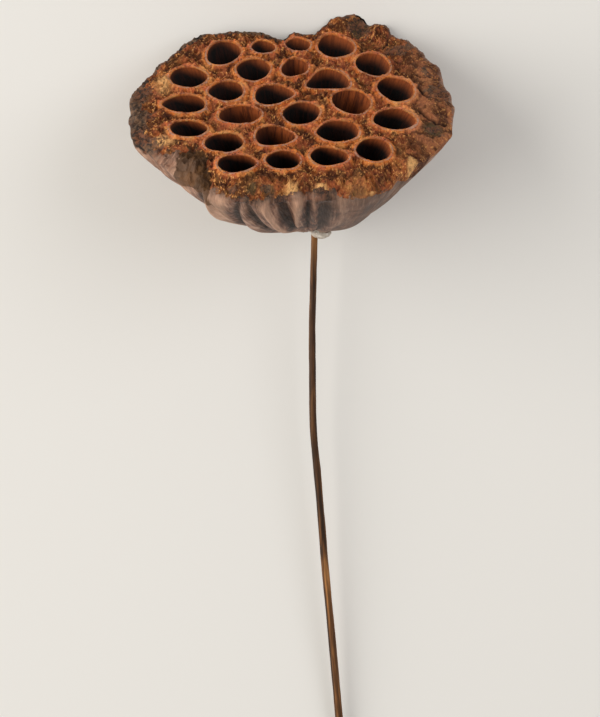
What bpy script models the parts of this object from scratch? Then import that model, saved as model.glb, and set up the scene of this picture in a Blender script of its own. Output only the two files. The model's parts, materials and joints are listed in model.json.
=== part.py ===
# A dried lotus pod glued to a slim stick, laid down on a table.
# Metres, +Z up. The pod is shaped in a frame of its own: X runs across the seed face, Y towards
# its far rim and Z out of the face. An empty then tips it onto its flank.

import math

import bmesh
import bpy
from mathutils import Matrix, Vector

MM = 0.001

# The pod
POD_DEPTH = 47.5 * MM  # from the seed face to the scar at the stem
SCAR_RADIUS = 5.5 * MM
LEAN = Vector((7.8 * MM, 1.0 * MM))  # how far the scar sits off the middle of the face
RIM_STEP = 15  # degrees between the radii below, counted from +X towards +Y
RIM_RADII_MM = (50.6, 51.3, 52, 52.5, 53, 44.5, 42.2, 43.2, 48, 48.8, 47.6, 49.3,
                49.8, 50, 48, 47.5, 49, 49, 44.5, 45, 48.5, 48, 50, 51.5)
RIM_LOBE = {"angle": 70.5, "spread": 7, "reach": 3.2 * MM, "rise": 3.9 * MM}
RIM_LUMP = {"angle": 57, "spread": 3.5, "reach": 1.3 * MM, "rise": 1.4 * MM}
RIM_NOTCH = {"angle": 95, "spread": 4.5, "reach": -1.2 * MM, "rise": -0.6 * MM}
RIM_SLOPE = {"angle": 331, "spread": 17, "reach": -1.3 * MM, "rise": 0.8 * MM}
RIM_FEATURES = (RIM_LOBE, RIM_LUMP, RIM_NOTCH, RIM_SLOPE)
ROLL_START = 0.80  # share of the rim radius where the flesh starts to roll over
ROLL_DROP = 3.2 * MM  # at the sides
ROLL_DROP_MORE = 2.3 * MM  # more than that at the near rim, less by as much at the far one
SWELL = 0.7 * MM  # the face's slow rise and fall
SWELL_WAVES = Vector((11 * MM, 13 * MM))
RAGGED = 0.7 * MM  # unevenness of the rim
RAGGED_WAVES = ((17, 0.5, 0.5), (29, 0.3, 2.0), (41, 0.2, 0.0))  # waves round the rim, share, phase

# The bowl of its flank, where a power of 1 is a cone and a larger one is rounder
BOWL_POWER = 1.42
BOWL_POWER_MORE = 0.15  # more than that on the fuller side, less by as much on the other
FULLER_SIDE = 215  # degrees
BELLY = {"angle": 122, "spread": 42, "power": 0.55}  # the flank that it lies on
TUCK = {"angle": 268, "spread": 40, "start": 0.6, "reach": 3.4 * MM}  # drawn in at the scar, over the glue
# Swells and dents of the skin: angle, depth, how far out, and how wide in degrees and in depth
SWELLS = ((333, 0.28, -1.0 * MM, 14, 0.20), (232, 0.22, 1.9 * MM, 7, 0.15), (242, 0.55, 1.3 * MM, 9, 0.20),
          (259, 0.72, -2.2 * MM, 10, 0.22), (198, 0.30, 0.8 * MM, 7, 0.13), (219, 0.25, -0.8 * MM, 6, 0.15),
          (228, 0.05, -1.0 * MM, 6, 0.10))
SWELL_ENDS = 4  # how fast they end at the scar
FOLDS = 27
FOLD_DEPTH = 2.5 * MM
FOLD_WANDER = ((3, 1.5, 0.7, 0.0), (7, 0.9, 2.1, 2.0))  # waves, size, phase, and drift with depth
FOLD_AT_RIM = 0.35  # share of the folds' depth that is left at the rim
FOLD_GROWS = 3  # how fast they deepen below it
FOLD_FULL_RADIUS = 22 * MM  # they shrink with the pod inside this radius
FOLD_ENDS = 12  # how fast they end at the scar

# The seed cells: x, y, width, length in millimetres, turn in degrees, and how much the cell narrows
# towards its +X end, or towards its -X end where that is negative
SEED_CELLS = (
    (-21, 28, 11, 14.5, -16, 0.1), (-8.5, 32, 8, 8, 0, 0), (2.5, 34.5, 8.5, 9, 18, 0),
    (14.5, 33, 12.5, 14.5, 20, 0), (26, 22, 11, 15, 22, 0), (-32, 15, 12.5, 12, 4, 0),
    (-11.5, 19, 11.5, 13, -10, 0), (1.5, 20, 9, 12, -12, 0.1), (11.3, 11.8, 14.5, 13, 30, -0.5),
    (33, 8, 12, 15, 14, 0), (-20, 7.5, 12, 11.5, -6, -0.1), (-5, 4.5, 13, 12, -6, 0.25),
    (-33, 0, 14, 11, 6, -0.15), (19, 0, 12.5, 14.5, 14, 0), (-15.5, -6, 14.5, 11, -4, 0),
    (3.5, -6.5, 12, 13, -8, 0), (32, -9, 14, 13, 12, -0.2), (-31, -14, 12.5, 10, -5, 0.1),
    (14.5, -16, 14, 11.5, 4, -0.15), (-20, -22, 12.5, 12, 4, 0), (-4.5, -18.5, 13, 11.5, -8, 0.25),
    (25.5, -25.5, 11.5, 12.5, 8, 0), (-16, -33.5, 12.5, 10, 4, 0), (-2, -31, 11, 10.5, 6, 0),
    (12, -29, 12.5, 10, -4, 0.15),
)
CELL_SIDES = 14
CELL_DEPTH = 16.5 * MM
CELL_CUT_ABOVE = 5 * MM  # the plug that cuts a cell starts this far above the face
CELL_FOOT = 0.66  # width at the bottom of a cell, as a share of its mouth
CELL_FOOT_ROUND = 0.3  # rounding of that bottom, as a share of its mouth
CELLS_MEET = 85 * MM  # the cells lean towards a point this far below the face
LIP_RISE = 0.7 * MM
LIP_SUNK = 2.1 * MM
LIP_TOP_WIDTH = 0.65 * MM
LIP_FOOT_WIDTH = 1.5 * MM

# The mesh of the pod before it is cut: shares of the radius on the face, and of the depth below it
ANGLE_STEPS = 112
FACE_ROWS = (0.0, 0.35, 0.65, 0.8, 0.88, 0.95, 1.0)
SIDE_ROWS = (0.03, 0.08, 0.16, 0.26, 0.38, 0.51, 0.64, 0.77, 0.88, 0.96, 1.0)
PROFILE_TAPER = 0.8
NEAR_ZERO = 0.001

# How it lies
FACE_ELEVATION = math.radians(30)  # how far the seed face looks above the horizon
REST_CUT = 1.1 * MM  # how much of the fold crests is flattened where the pod rests

# The stick, as millimetres from the middle of the seed face, seen from above
STEM_ROUTE_MM = ((7.2, -60), (7.0, -80), (7.3, -100), (8.6, -120), (10.6, -145), (13.3, -175),
                 (16.4, -208), (19.6, -241))
STEM_TOP_RADIUS = 1.0 * MM
STEM_TIP_RADIUS = 1.3 * MM
STEM_IN_POD = 6 * MM
STEM_POINTS = 36
STEM_SIDES_RESOLUTION = 3
STEM_FLAT = 0.15 * MM  # how much of its tip is flattened on the table
SOCKET_POINTS = 8  # how many of the stick's points the hole for it takes in
GAP = 0.3 * MM

# The bead of glue that holds the stick, in the pod's frame, from the middle of the scar
GLUE_RADII = Vector((3.3 * MM, 2.6 * MM, 1.8 * MM))
GLUE_OFFSET = Vector((2.0 * MM, -1.5 * MM, -1.2 * MM))

WELD = 0.01 * MM


def clear_scene():
    for obj in list(bpy.data.objects):
        bpy.data.objects.remove(obj, do_unlink=True)


def new_collection(name):
    collection = bpy.data.collections.new(name)
    bpy.context.scene.collection.children.link(collection)
    return collection


def new_empty(name, collection):
    empty = bpy.data.objects.new(name, None)
    collection.objects.link(empty)
    return empty


def new_material(name, colour, roughness, transmission=0.0):
    material = bpy.data.materials.new(name)
    material.use_nodes = True
    shader = material.node_tree.nodes["Principled BSDF"]
    shader.inputs["Base Color"].default_value = (*colour, 1.0)
    shader.inputs["Roughness"].default_value = roughness
    shader.inputs["Metallic"].default_value = 0.0
    shader.inputs["Transmission Weight"].default_value = transmission
    return material


def object_from_bmesh(name, bm, collection, parent=None):
    mesh = bpy.data.meshes.new(name)
    bm.to_mesh(mesh)
    bm.free()
    obj = bpy.data.objects.new(name, mesh)
    obj.parent = parent
    collection.objects.link(obj)
    return obj


def make_cutter(obj):
    obj.hide_render = True
    obj.display_type = "WIRE"
    return obj


def boolean(obj, operation, other):
    modifier = obj.modifiers.new(operation.lower(), "BOOLEAN")
    modifier.operation = operation
    if isinstance(other, bpy.types.Collection):
        modifier.operand_type = "COLLECTION"
        modifier.collection = other
    else:
        modifier.object = other


def between(a, b, c, d, share):
    """A smooth curve's value between b and c, where a and d are the values on either side."""
    return b + 0.5 * share * (c - a + share * (2 * a - 5 * b + 4 * c - d + share * (3 * (b - c) + d - a)))


def bump(angle, feature):
    """1 at the feature's own angle, falling to 0 on both sides of it."""
    away = (math.degrees(angle) - feature["angle"] + 180) % 360 - 180
    return math.exp(-((away / feature["spread"]) ** 4))


def ragged(angle):
    return sum(size * math.sin(waves * angle + phase) for waves, size, phase in RAGGED_WAVES)


def rim_radius(angle):
    """A smooth closed outline through the rim's radii."""
    place = math.degrees(angle) % 360 / RIM_STEP
    first = int(place)
    near = [RIM_RADII_MM[(first + i) % len(RIM_RADII_MM)] * MM for i in (-1, 0, 1, 2)]
    features = sum(bump(angle, feature) * feature["reach"] for feature in RIM_FEATURES)
    return between(*near, place - first) + features + RAGGED * ragged(angle)


def face_height(x, y):
    """The seed face: nearly flat, with the flesh rolled over at the rim."""
    angle = math.atan2(y, x)
    share = math.hypot(x, y) / rim_radius(angle)
    edge = max(0.0, (share - ROLL_START) / (1 - ROLL_START))
    drop = ROLL_DROP - ROLL_DROP_MORE * math.sin(angle)
    rise = sum(bump(angle, feature) * feature["rise"] for feature in RIM_FEATURES)
    swell = SWELL * math.sin(x / SWELL_WAVES.x + 0.6) * math.cos(y / SWELL_WAVES.y)
    return swell + edge * (rise + RAGGED * ragged(angle + 0.8)) - edge**2 * drop


def fold(angle, depth):
    """0 in a crease of the skin and 1 on the crest of a fold."""
    wander = sum(size * math.sin(waves * angle + phase + drift * depth)
                 for waves, size, phase, drift in FOLD_WANDER)
    return abs(math.sin((FOLDS * angle + wander) / 2))


def swells(angle, depth):
    """How far the skin's swells and dents move it out."""
    total = 0.0
    for degrees, at, out, width, height in SWELLS:
        away = (math.degrees(angle) - degrees + 180) % 360 - 180
        total += out * math.exp(-((away / width) ** 2) - ((depth - at) / height) ** 2)
    return total * min(1.0, SWELL_ENDS * (1 - depth))


def side_point(angle, depth):
    """A point on the skin, where depth is 0 at the rim and 1 at the scar."""
    rim = rim_radius(angle)
    rim_height = face_height(rim * math.cos(angle), rim * math.sin(angle))
    power = BOWL_POWER + BOWL_POWER_MORE * math.cos(angle - math.radians(FULLER_SIDE))
    power += BELLY["power"] * bump(angle, BELLY)
    radius = SCAR_RADIUS + (rim - SCAR_RADIUS) * (1 - depth**power)
    crease = FOLD_DEPTH * min(1.0, FOLD_AT_RIM + FOLD_GROWS * depth) * min(1.0, radius / FOLD_FULL_RADIUS)
    radius -= crease * (1 - fold(angle, depth)) * min(1.0, FOLD_ENDS * (1 - depth))
    radius += swells(angle, depth)
    radius -= TUCK["reach"] * bump(angle, TUCK) * max(0.0, (depth - TUCK["start"]) / (1 - TUCK["start"]))
    height = rim_height - (POD_DEPTH + rim_height) * depth
    middle = LEAN * depth
    return Vector((middle.x + radius * math.cos(angle), middle.y + radius * math.sin(angle), height))


def pod_body(collection, parent):
    """A profile turned into a unit bowl, then each point moved to its place on the pod."""
    profile = [(share, 0.0) for share in FACE_ROWS]
    profile += [(1 - PROFILE_TAPER * depth, -depth) for depth in SIDE_ROWS]
    profile.append((0.0, -1.0))
    bm = bmesh.new()
    points = [bm.verts.new((radius, 0, height)) for radius, height in profile]
    for upper, lower in zip(points, points[1:]):
        bm.edges.new((upper, lower))
    pod = object_from_bmesh("seed_pod", bm, collection, parent)
    screw = pod.modifiers.new("turn", "SCREW")
    screw.steps = screw.render_steps = ANGLE_STEPS
    screw.use_merge_vertices = True
    screw.merge_threshold = 0.0001
    graph = bpy.context.evaluated_depsgraph_get()
    turned = bpy.data.meshes.new_from_object(pod.evaluated_get(graph))
    pod.modifiers.clear()
    pod.data = turned
    for vertex in turned.vertices:
        x, y, z = vertex.co
        angle = math.atan2(y, x)
        share = math.hypot(x, y)
        if z > -NEAR_ZERO:
            reach = share * rim_radius(angle)
            place = Vector((reach * math.cos(angle), reach * math.sin(angle), 0))
            place.z = face_height(place.x, place.y)
        elif share < NEAR_ZERO:
            place = Vector((*LEAN, -POD_DEPTH))
        else:
            place = side_point(angle, -z)
        vertex.co = place
    turned.shade_smooth()
    return pod


def cell_place(cell, across, along, height, grow=0.0):
    """A point of a cell: across and along run from -1 to 1, and grow widens the cell's outline."""
    x, y, width, length, turn, narrow = cell
    u = across * (width * MM / 2 + grow)
    v = along * (length * MM / 2 + grow) * (1 - narrow * across)
    angle = math.radians(turn)
    lean = 1 + height / CELLS_MEET
    return Vector((x * MM * lean + u * math.cos(angle) - v * math.sin(angle),
                   y * MM * lean + u * math.sin(angle) + v * math.cos(angle),
                   height))


def cell_cutter(number, cell, collection, parent):
    """A round-bottomed tapered plug, taller than the flesh over the cell."""
    bm = bmesh.new()
    bmesh.ops.create_cone(bm, cap_ends=True, segments=CELL_SIDES, radius1=CELL_FOOT, radius2=1, depth=2)
    foot = [edge for edge in bm.edges if all(vertex.co.z < 0 for vertex in edge.verts)]
    bmesh.ops.bevel(bm, geom=foot, offset=CELL_FOOT_ROUND, segments=2, profile=0.5, affect="EDGES", material=-1)
    for vertex in bm.verts:
        x, y, z = vertex.co
        height = CELL_CUT_ABOVE - (1 - z) / 2 * (CELL_DEPTH + CELL_CUT_ABOVE)
        vertex.co = cell_place(cell, x, y, height)
    return make_cutter(object_from_bmesh(f"cell_{number}", bm, collection, parent))


def cell_lip(number, cell, collection, parent):
    """A low collar round the mouth of a cell, its foot sunk into the face."""
    bm = bmesh.new()
    bmesh.ops.create_cone(bm, cap_ends=True, segments=CELL_SIDES, radius1=1, radius2=1, depth=2)
    for vertex in bm.verts:
        x, y, z = vertex.co
        grow, above = (LIP_TOP_WIDTH, LIP_RISE) if z > 0 else (LIP_FOOT_WIDTH, -LIP_SUNK)
        place = cell_place(cell, x, y, 0, grow)
        place.z = face_height(place.x, place.y) + above
        vertex.co = place
    return make_cutter(object_from_bmesh(f"lip_{number}", bm, collection, parent))


def box_cutter(name, centre, size, collection, parent):
    bm = bmesh.new()
    bmesh.ops.create_cube(bm, size=1, matrix=Matrix.Translation(centre) @ Matrix.Diagonal((*size, 1)))
    return make_cutter(object_from_bmesh(name, bm, collection, parent))


def tube(name, route, radii, collection, parent):
    """A curve tube made a closed mesh."""
    curve = bpy.data.curves.new(name, "CURVE")
    curve.dimensions = "3D"
    curve.bevel_depth = 1.0
    curve.bevel_resolution = STEM_SIDES_RESOLUTION
    curve.use_fill_caps = True
    spline = curve.splines.new("POLY")
    spline.points.add(len(route) - 1)
    for point, place, radius in zip(spline.points, route, radii):
        point.co = (*place, 1)
        point.radius = radius
    guide = bpy.data.objects.new(name + "_guide", curve)
    collection.objects.link(guide)
    graph = bpy.context.evaluated_depsgraph_get()
    mesh = bpy.data.meshes.new_from_object(guide.evaluated_get(graph))
    bpy.data.objects.remove(guide)
    bm = bmesh.new()
    bm.from_mesh(mesh)
    bmesh.ops.remove_doubles(bm, verts=bm.verts, dist=WELD)
    bmesh.ops.recalc_face_normals(bm, faces=bm.faces)
    obj = object_from_bmesh(name, bm, collection, parent)
    obj.data.shade_smooth()
    return obj


def stem_route(scar):
    """The stick's middle line: out of the scar, then down to the table at its cut end."""
    points = [Vector((x * MM, y * MM, 0)) for x, y in STEM_ROUTE_MM]
    tip_height = STEM_TIP_RADIUS - STEM_FLAT
    for point in points:
        share = (point.y - scar.y) / (points[-1].y - scar.y)
        point.z = scar.z + (tip_height - scar.z) * share
    points = [scar - (points[0] - scar).normalized() * STEM_IN_POD, scar, *points]
    ends = [2 * points[0] - points[1], *points, 2 * points[-1] - points[-2]]
    route = []
    for i in range(STEM_POINTS):
        place = i / (STEM_POINTS - 1) * (len(points) - 1)
        first = min(int(place), len(points) - 2)
        route.append(between(*ends[first : first + 4], place - first))
    return route


def stem_and_socket(scar, parts, cutters, parent):
    """The stick, and the wider tube that cuts the hole it sits in."""
    route = stem_route(scar)
    taper = (STEM_TIP_RADIUS - STEM_TOP_RADIUS) / (STEM_POINTS - 1)
    radii = [STEM_TOP_RADIUS + taper * i for i in range(STEM_POINTS)]
    stem = tube("stem", route, radii, parts, parent)
    deeper = route[0] - (route[1] - route[0]).normalized() * GAP
    hole = [deeper, *route[1:SOCKET_POINTS]]
    wider = [radius + GAP for radius in radii[:SOCKET_POINTS]]
    return stem, make_cutter(tube("socket", hole, wider, cutters, parent))


def glue_bead(collection, parent):
    bm = bmesh.new()
    bmesh.ops.create_uvsphere(bm, u_segments=20, v_segments=12, radius=1)
    bmesh.ops.scale(bm, vec=GLUE_RADII, verts=bm.verts)
    bmesh.ops.translate(bm, vec=Vector((*LEAN, -POD_DEPTH)) + GLUE_OFFSET, verts=bm.verts)
    glue = object_from_bmesh("glue_bead", bm, collection, parent)
    glue.data.shade_smooth()
    return glue


def centre_on(origin, solids):
    """Moves the origin empty so that the solids' box stands on the middle of the table."""
    graph = bpy.context.evaluated_depsgraph_get()
    points = []
    for solid in solids:
        evaluated = solid.evaluated_get(graph)
        points += [evaluated.matrix_world @ vertex.co for vertex in evaluated.data.vertices]
    for axis in (0, 1):
        values = [point[axis] for point in points]
        origin.location[axis] -= (min(values) + max(values)) / 2


def main():
    clear_scene()
    parts = new_collection("lotus_pod")
    cutters = new_collection("cutters")
    lips = new_collection("lips")
    cells = new_collection("cells")
    origin = new_empty("origin", parts)
    tipped = new_empty("tipped", parts)
    tipped.parent = origin

    pod = pod_body(parts, tipped)
    tip = Matrix.Rotation(FACE_ELEVATION - math.pi / 2, 4, "X")
    lift = -min((tip @ vertex.co).z for vertex in pod.data.vertices) - REST_CUT
    tipped.matrix_basis = Matrix.Translation((0, 0, lift)) @ tip
    scar_point = Vector((*LEAN, -POD_DEPTH))
    for number, cell in enumerate(SEED_CELLS, 1):
        cell_lip(number, cell, lips, tipped)
        cell_cutter(number, cell, cells, tipped)

    stem, socket = stem_and_socket(tipped.matrix_basis @ scar_point, parts, cutters, origin)
    glue = glue_bead(parts, tipped)
    table = box_cutter("table", (0, -0.1, -0.05), (0.5, 0.6, 0.1), cutters, origin)
    above_scar = scar_point + Vector((0, 0, 0.01 - GAP))
    scar_block = box_cutter("scar_block", above_scar, (0.03, 0.03, 0.02), cutters, tipped)

    boolean(pod, "UNION", lips)
    for cutter in (cells, socket, table):
        boolean(pod, "DIFFERENCE", cutter)
    boolean(stem, "DIFFERENCE", table)
    for cutter in (scar_block, socket):
        boolean(glue, "DIFFERENCE", cutter)
    bpy.context.view_layer.update()
    centre_on(origin, (pod, stem, glue))

    pod.data.materials.append(new_material("dry_flesh", (0.2, 0.07, 0.028), 0.85))
    stem.data.materials.append(new_material("stick", (0.13, 0.06, 0.025), 0.6))
    glue.data.materials.append(new_material("glue", (0.6, 0.55, 0.48), 0.35, 0.4))


main()
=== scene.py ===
# A dried lotus pod on its stick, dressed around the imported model.
# The pod is shaped in millimetres in a frame of its own (X across the seed face, Y towards its far
# rim, Z out of the face) and is laid down on its flank at the end.
import json
import math

import bmesh
import bpy
import numpy as np
from mathutils import Matrix, Vector, noise

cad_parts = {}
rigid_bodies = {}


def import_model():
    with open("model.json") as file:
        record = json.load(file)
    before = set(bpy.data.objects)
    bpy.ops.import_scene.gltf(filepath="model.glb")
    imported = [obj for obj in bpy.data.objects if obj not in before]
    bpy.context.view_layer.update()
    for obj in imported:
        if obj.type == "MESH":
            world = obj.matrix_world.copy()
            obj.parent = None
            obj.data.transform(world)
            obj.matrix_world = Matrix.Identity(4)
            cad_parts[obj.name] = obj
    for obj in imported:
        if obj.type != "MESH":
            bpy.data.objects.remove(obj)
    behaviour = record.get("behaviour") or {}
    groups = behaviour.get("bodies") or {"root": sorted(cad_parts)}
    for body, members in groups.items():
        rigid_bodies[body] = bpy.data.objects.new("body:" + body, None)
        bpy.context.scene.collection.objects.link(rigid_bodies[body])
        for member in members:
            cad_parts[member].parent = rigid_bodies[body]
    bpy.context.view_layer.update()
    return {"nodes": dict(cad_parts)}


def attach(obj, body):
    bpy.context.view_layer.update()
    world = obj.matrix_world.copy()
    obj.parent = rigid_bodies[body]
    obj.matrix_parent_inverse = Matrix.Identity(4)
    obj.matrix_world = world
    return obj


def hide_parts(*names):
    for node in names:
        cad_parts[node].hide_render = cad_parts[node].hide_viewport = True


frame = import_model()
mm = 0.001
print("frame loaded:", ", ".join(sorted(frame["nodes"])))

# how the pod lies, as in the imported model
lay = {
    "faceElevation": 30,  # degrees that the seed face looks above the horizon
    "spot": (-0.5608, 107.5218, 40.38),  # where the middle of the face is, mm
}
tipBack = Matrix.Rotation(math.radians(lay["faceElevation"] - 90), 4, "X")
podToTable = Matrix.Translation(Vector(lay["spot"])) @ tipBack


def layDown(points):
    return points @ np.array(podToTable.to_3x3()).T + np.array(lay["spot"])


# camera at the photograph's angle
camera = {
    "distance": 1000,  # mm from the seed face
    "mmPerPixel": 0.31,
    "tilt": 3.4,  # degrees off straight above
    "faceAt": (290, 103),  # where the middle of the face falls, in pixels
    "frame": (600, 717),
    "sensor": 36,  # mm
    "nearest": 0.01,  # m
}


def makeCamera():
    pixels = camera["distance"] / camera["mmPerPixel"]
    width, height = camera["frame"]
    tilt = math.radians(camera["tilt"])
    aim = tilt + math.atan((height / 2 - camera["faceAt"][1]) / pixels)
    eye = Vector(lay["spot"]) + Vector((0, math.sin(tilt), math.cos(tilt))) * camera["distance"]
    eye.x += (width / 2 - camera["faceAt"][0]) * camera["mmPerPixel"]
    data = bpy.data.cameras.new("tableCamera")
    data.sensor_width = camera["sensor"]
    data.lens = camera["sensor"] * pixels / height
    data.clip_start = camera["nearest"]
    obj = bpy.data.objects.new("tableCamera", data)
    bpy.context.scene.collection.objects.link(obj)
    obj.location = eye * mm
    obj.rotation_euler = (-aim, 0, 0)
    bpy.context.scene.camera = obj
    print("camera:", camera["distance"], "mm from the face")


# small helpers
def between(a, b, c, d, share):  # a smooth curve's value from b to c
    return b + 0.5 * share * (c - a + share * (2 * a - 5 * b + 4 * c - d + share * (3 * (b - c) + d - a)))


def smooth(low, high, value):  # 0 below low, 1 above high
    share = np.clip((value - low) / (high - low), 0, 1)
    return share * share * (3 - 2 * share)


def awayFrom(angle, degrees):
    return (np.degrees(angle) - degrees + 180) % 360 - 180


noiseForm = {"roughness": 0.8, "finer": 2.1, "ridgeSharp": 2.2}


def grain(points, size, octaves=3, shift=0.0):  # soft noise of about -1 to 1, size in mm
    offset = Vector((shift, -shift, shift))
    rough, finer = noiseForm["roughness"], noiseForm["finer"]
    return np.array([noise.fractal(Vector(point) / size + offset, rough, finer, octaves) for point in points])


def ridges(points, size, octaves=2, shift=0.0):  # 1 on thin ridges, 0 in the pits
    return 1 - np.minimum(1, noiseForm["ridgeSharp"] * np.abs(grain(points, size, octaves, shift)))


def pieceFrom(name, bm, material, slots=1):
    bmesh.ops.recalc_face_normals(bm, faces=bm.faces)
    mesh = bpy.data.meshes.new(name)
    bm.to_mesh(mesh)
    bm.free()
    for _ in range(slots):
        mesh.materials.append(material)
    obj = bpy.data.objects.new(name, mesh)
    bpy.context.scene.collection.objects.link(obj)
    return obj


def tube(sides, cuts):  # 2 high and 2 wide, cut across
    bm = bmesh.new()
    bmesh.ops.create_cone(bm, cap_ends=True, segments=sides, radius1=1, radius2=1, depth=2)
    upright = [edge for edge in bm.edges if abs(edge.verts[0].co.z - edge.verts[1].co.z) > 1]
    bmesh.ops.subdivide_edges(bm, edges=upright, cuts=cuts, use_grid_fill=True)
    return bm


def readPoints(mesh):
    points = np.empty(len(mesh.vertices) * 3)
    mesh.vertices.foreach_get("co", points)
    return points.reshape(-1, 3)


def writePoints(mesh, points):
    mesh.vertices.foreach_set("co", points.ravel())
    mesh.update()


def putOnTable(mesh, points):  # mm in the frame, flat where it rests
    points[:, 2] = np.maximum(points[:, 2], 0)
    writePoints(mesh, points * mm)
    mesh.shade_smooth()


def keepOnPoints(mesh, name, values):  # a mask or place that the material reads
    kind = "FLOAT" if values.ndim == 1 else "FLOAT_VECTOR"
    field = "value" if values.ndim == 1 else "vector"
    mesh.attributes.new(name, kind, "POINT").data.foreach_set(field, values.astype(float).ravel())


# the pod's form
podForm = {
    "depth": 47.5, "scarRadius": 5.5, "lean": (7.8, 1.0), "rimStep": 15,
    "rimRadii": (50.6, 51.3, 52, 52.5, 53, 44.5, 42.2, 43.2, 48, 48.8, 47.6, 49.3,
                 49.8, 50, 48, 47.5, 49, 49, 44.5, 45, 48.5, 48, 50, 51.5),
    "rimFeatures": ({"angle": 70.5, "spread": 7, "reach": 3.2, "rise": 3.9},
                    {"angle": 57, "spread": 3.5, "reach": 1.3, "rise": 1.4},
                    {"angle": 95, "spread": 4.5, "reach": -1.2, "rise": -0.6},
                    {"angle": 331, "spread": 17, "reach": -1.3, "rise": 0.8},
                    {"angle": 50.5, "spread": 2.6, "reach": -0.5, "rise": -0.3},
                    {"angle": 19, "spread": 5, "reach": -0.7, "rise": -0.1}),
    "rollStart": 0.8, "rollDrop": 3.2, "rollDropMore": 2.3, "swell": 0.7, "swellWaves": (11, 13),
    "ragged": 0.7, "raggedWaves": ((17, 0.5, 0.5), (29, 0.3, 2.0), (41, 0.2, 0.0)),
    "bowlPower": 1.42, "bowlPowerMore": 0.15, "fullerSide": 215,
    "belly": {"angle": 122, "spread": 42, "power": 0.55},
    "tuck": {"angle": 268, "spread": 40, "start": 0.6, "reach": 3.4},
    # swells and dents: angle, depth, mm out, and how wide in degrees and in depth
    "swells": ((333, 0.28, -1.0, 14, 0.20), (232, 0.22, 1.9, 7, 0.15), (242, 0.55, 1.3, 9, 0.20),
               (259, 0.72, -2.2, 10, 0.22), (198, 0.30, 0.8, 7, 0.13), (219, 0.25, -0.8, 6, 0.15),
               (228, 0.05, -1.0, 6, 0.10), (209, 0.20, 0.8, 6, 0.12), (308, 0.60, 0.6, 10, 0.20)),
    "folds": 27, "foldDepth": 2.5, "foldWander": ((3, 1.5, 0.7, 0.0), (7, 0.9, 2.1, 2.0)),
    "foldAtRim": 0.35, "foldGrows": 3, "foldFullRadius": 22, "foldEnds": 12,
    "leathery": {"angle": 200, "spread": 17, "grain": 1.1, "size": 3.2, "sink": 0.3, "ends": (0.08, 0.3)},
    "streaks": ((1.5, 2, 5, 0.22), (4.0, 2, 9, 0.35)),  # fine grain of the skin: size, octaves, shift, mm
    "around": 50,  # mm, radius of the even cylinder that this grain is laid on
    "scarGrain": 0.4, "rimSettle": 0.6,
    "faceCuts": 188, "skinRows": 42, "rowsCrowd": 1.15, "scarRows": 4, "skinTaper": 0.8,
    "scarSize": 0.2, "sharpFrom": 55,
}
# folds that show at the near side: degrees, lean in degrees down to the scar,
# mm out (or in), width in degrees
nearFolds = (
    (199, 0, 0.7, 3.0), (206, 4, -0.6, 2.5), (224, -8, 0.5, 3.0), (235, -16, -1.5, 2.3),
    (240.5, -15, 1.3, 2.4), (245, -15, 0.5, 2.2), (251.5, -24, -1.1, 1.5), (254.5, -4, -1.0, 1.8),
    (260.8, 0, 1.5, 1.1), (266.5, -2, -1.4, 2.6), (273, -12, 1.1, 1.8), (277.3, -8, -0.9, 1.2),
    (279.4, -3, 0.5, 1.1), (284, -4, -1.3, 3.0), (290, 1, 0.6, 2.0), (302, 2, -0.4, 1.8),
    (310, 0, 0.4, 3.0),
)
nearSide = {  # where those take over from the regular folds
    "angle": 258, "spread": 58, "fades": (0.35, 0.75), "strength": 1.75, "shape": 1.6, "sink": 0.45,
}
# where skin takes over from flesh: degrees, mm past the rim (less than 0 on the face)
fleshEdge = (
    (0, -0.6), (20, -1.0), (38, -1.0), (47, -0.8), (56, -1.2), (64, -1.0), (76, -0.3), (90, -1.4),
    (105, -1.8), (118, -1.2), (130, -1.6), (140, -1.0), (150, -1.6), (160, -1.2), (168, -2.6), (176, -4.0),
    (184, -3.4), (190, -4.5), (198, -4.0), (207, -1.6), (212, -1.4), (217, -5.5), (224, -6.0), (231, -4.0),
    (237, -0.8), (243, -1.0), (250, -0.8), (256, -1.2), (259, -1.8), (263, -1.8), (269, -1.0), (275, -1.8),
    (281, -1.6), (286, -2.0), (289.5, -0.6), (294, 0.2), (300, 0.6), (308, 2.0), (315, 3.6), (321, 6.5),
    (327, 9.5), (334, 8.5), (341, 4.5), (347, 1.0), (354, -0.4),
)


def bump(angle, feature):  # 1 at the feature's own angle, falling to 0 on both sides
    return np.exp(-((awayFrom(angle, feature["angle"]) / feature["spread"]) ** 4))


def ragged(angle):
    return sum(size * np.sin(waves * angle + phase) for waves, size, phase in podForm["raggedWaves"])


def rimRadius(angle):
    place = np.degrees(angle) % 360 / podForm["rimStep"]
    first = np.floor(place).astype(int)
    radii = np.array(podForm["rimRadii"])
    near = [radii[(first + i) % len(radii)] for i in (-1, 0, 1, 2)]
    features = sum(bump(angle, feature) * feature["reach"] for feature in podForm["rimFeatures"])
    return between(*near, place - first) + features + podForm["ragged"] * ragged(angle)


def faceHeight(x, y):
    angle = np.arctan2(y, x)
    share = np.hypot(x, y) / rimRadius(angle)
    edge = np.maximum(0, (share - podForm["rollStart"]) / (1 - podForm["rollStart"]))
    drop = podForm["rollDrop"] - podForm["rollDropMore"] * np.sin(angle)
    rise = sum(bump(angle, feature) * feature["rise"] for feature in podForm["rimFeatures"])
    waves = podForm["swellWaves"]
    swell = podForm["swell"] * np.sin(x / waves[0] + 0.6) * np.cos(y / waves[1])
    return swell + edge * (rise + podForm["ragged"] * ragged(angle + 0.8)) - edge**2 * drop


def rimHeight(angle):
    rim = rimRadius(angle) * 0.9999
    return faceHeight(rim * np.cos(angle), rim * np.sin(angle))


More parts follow.
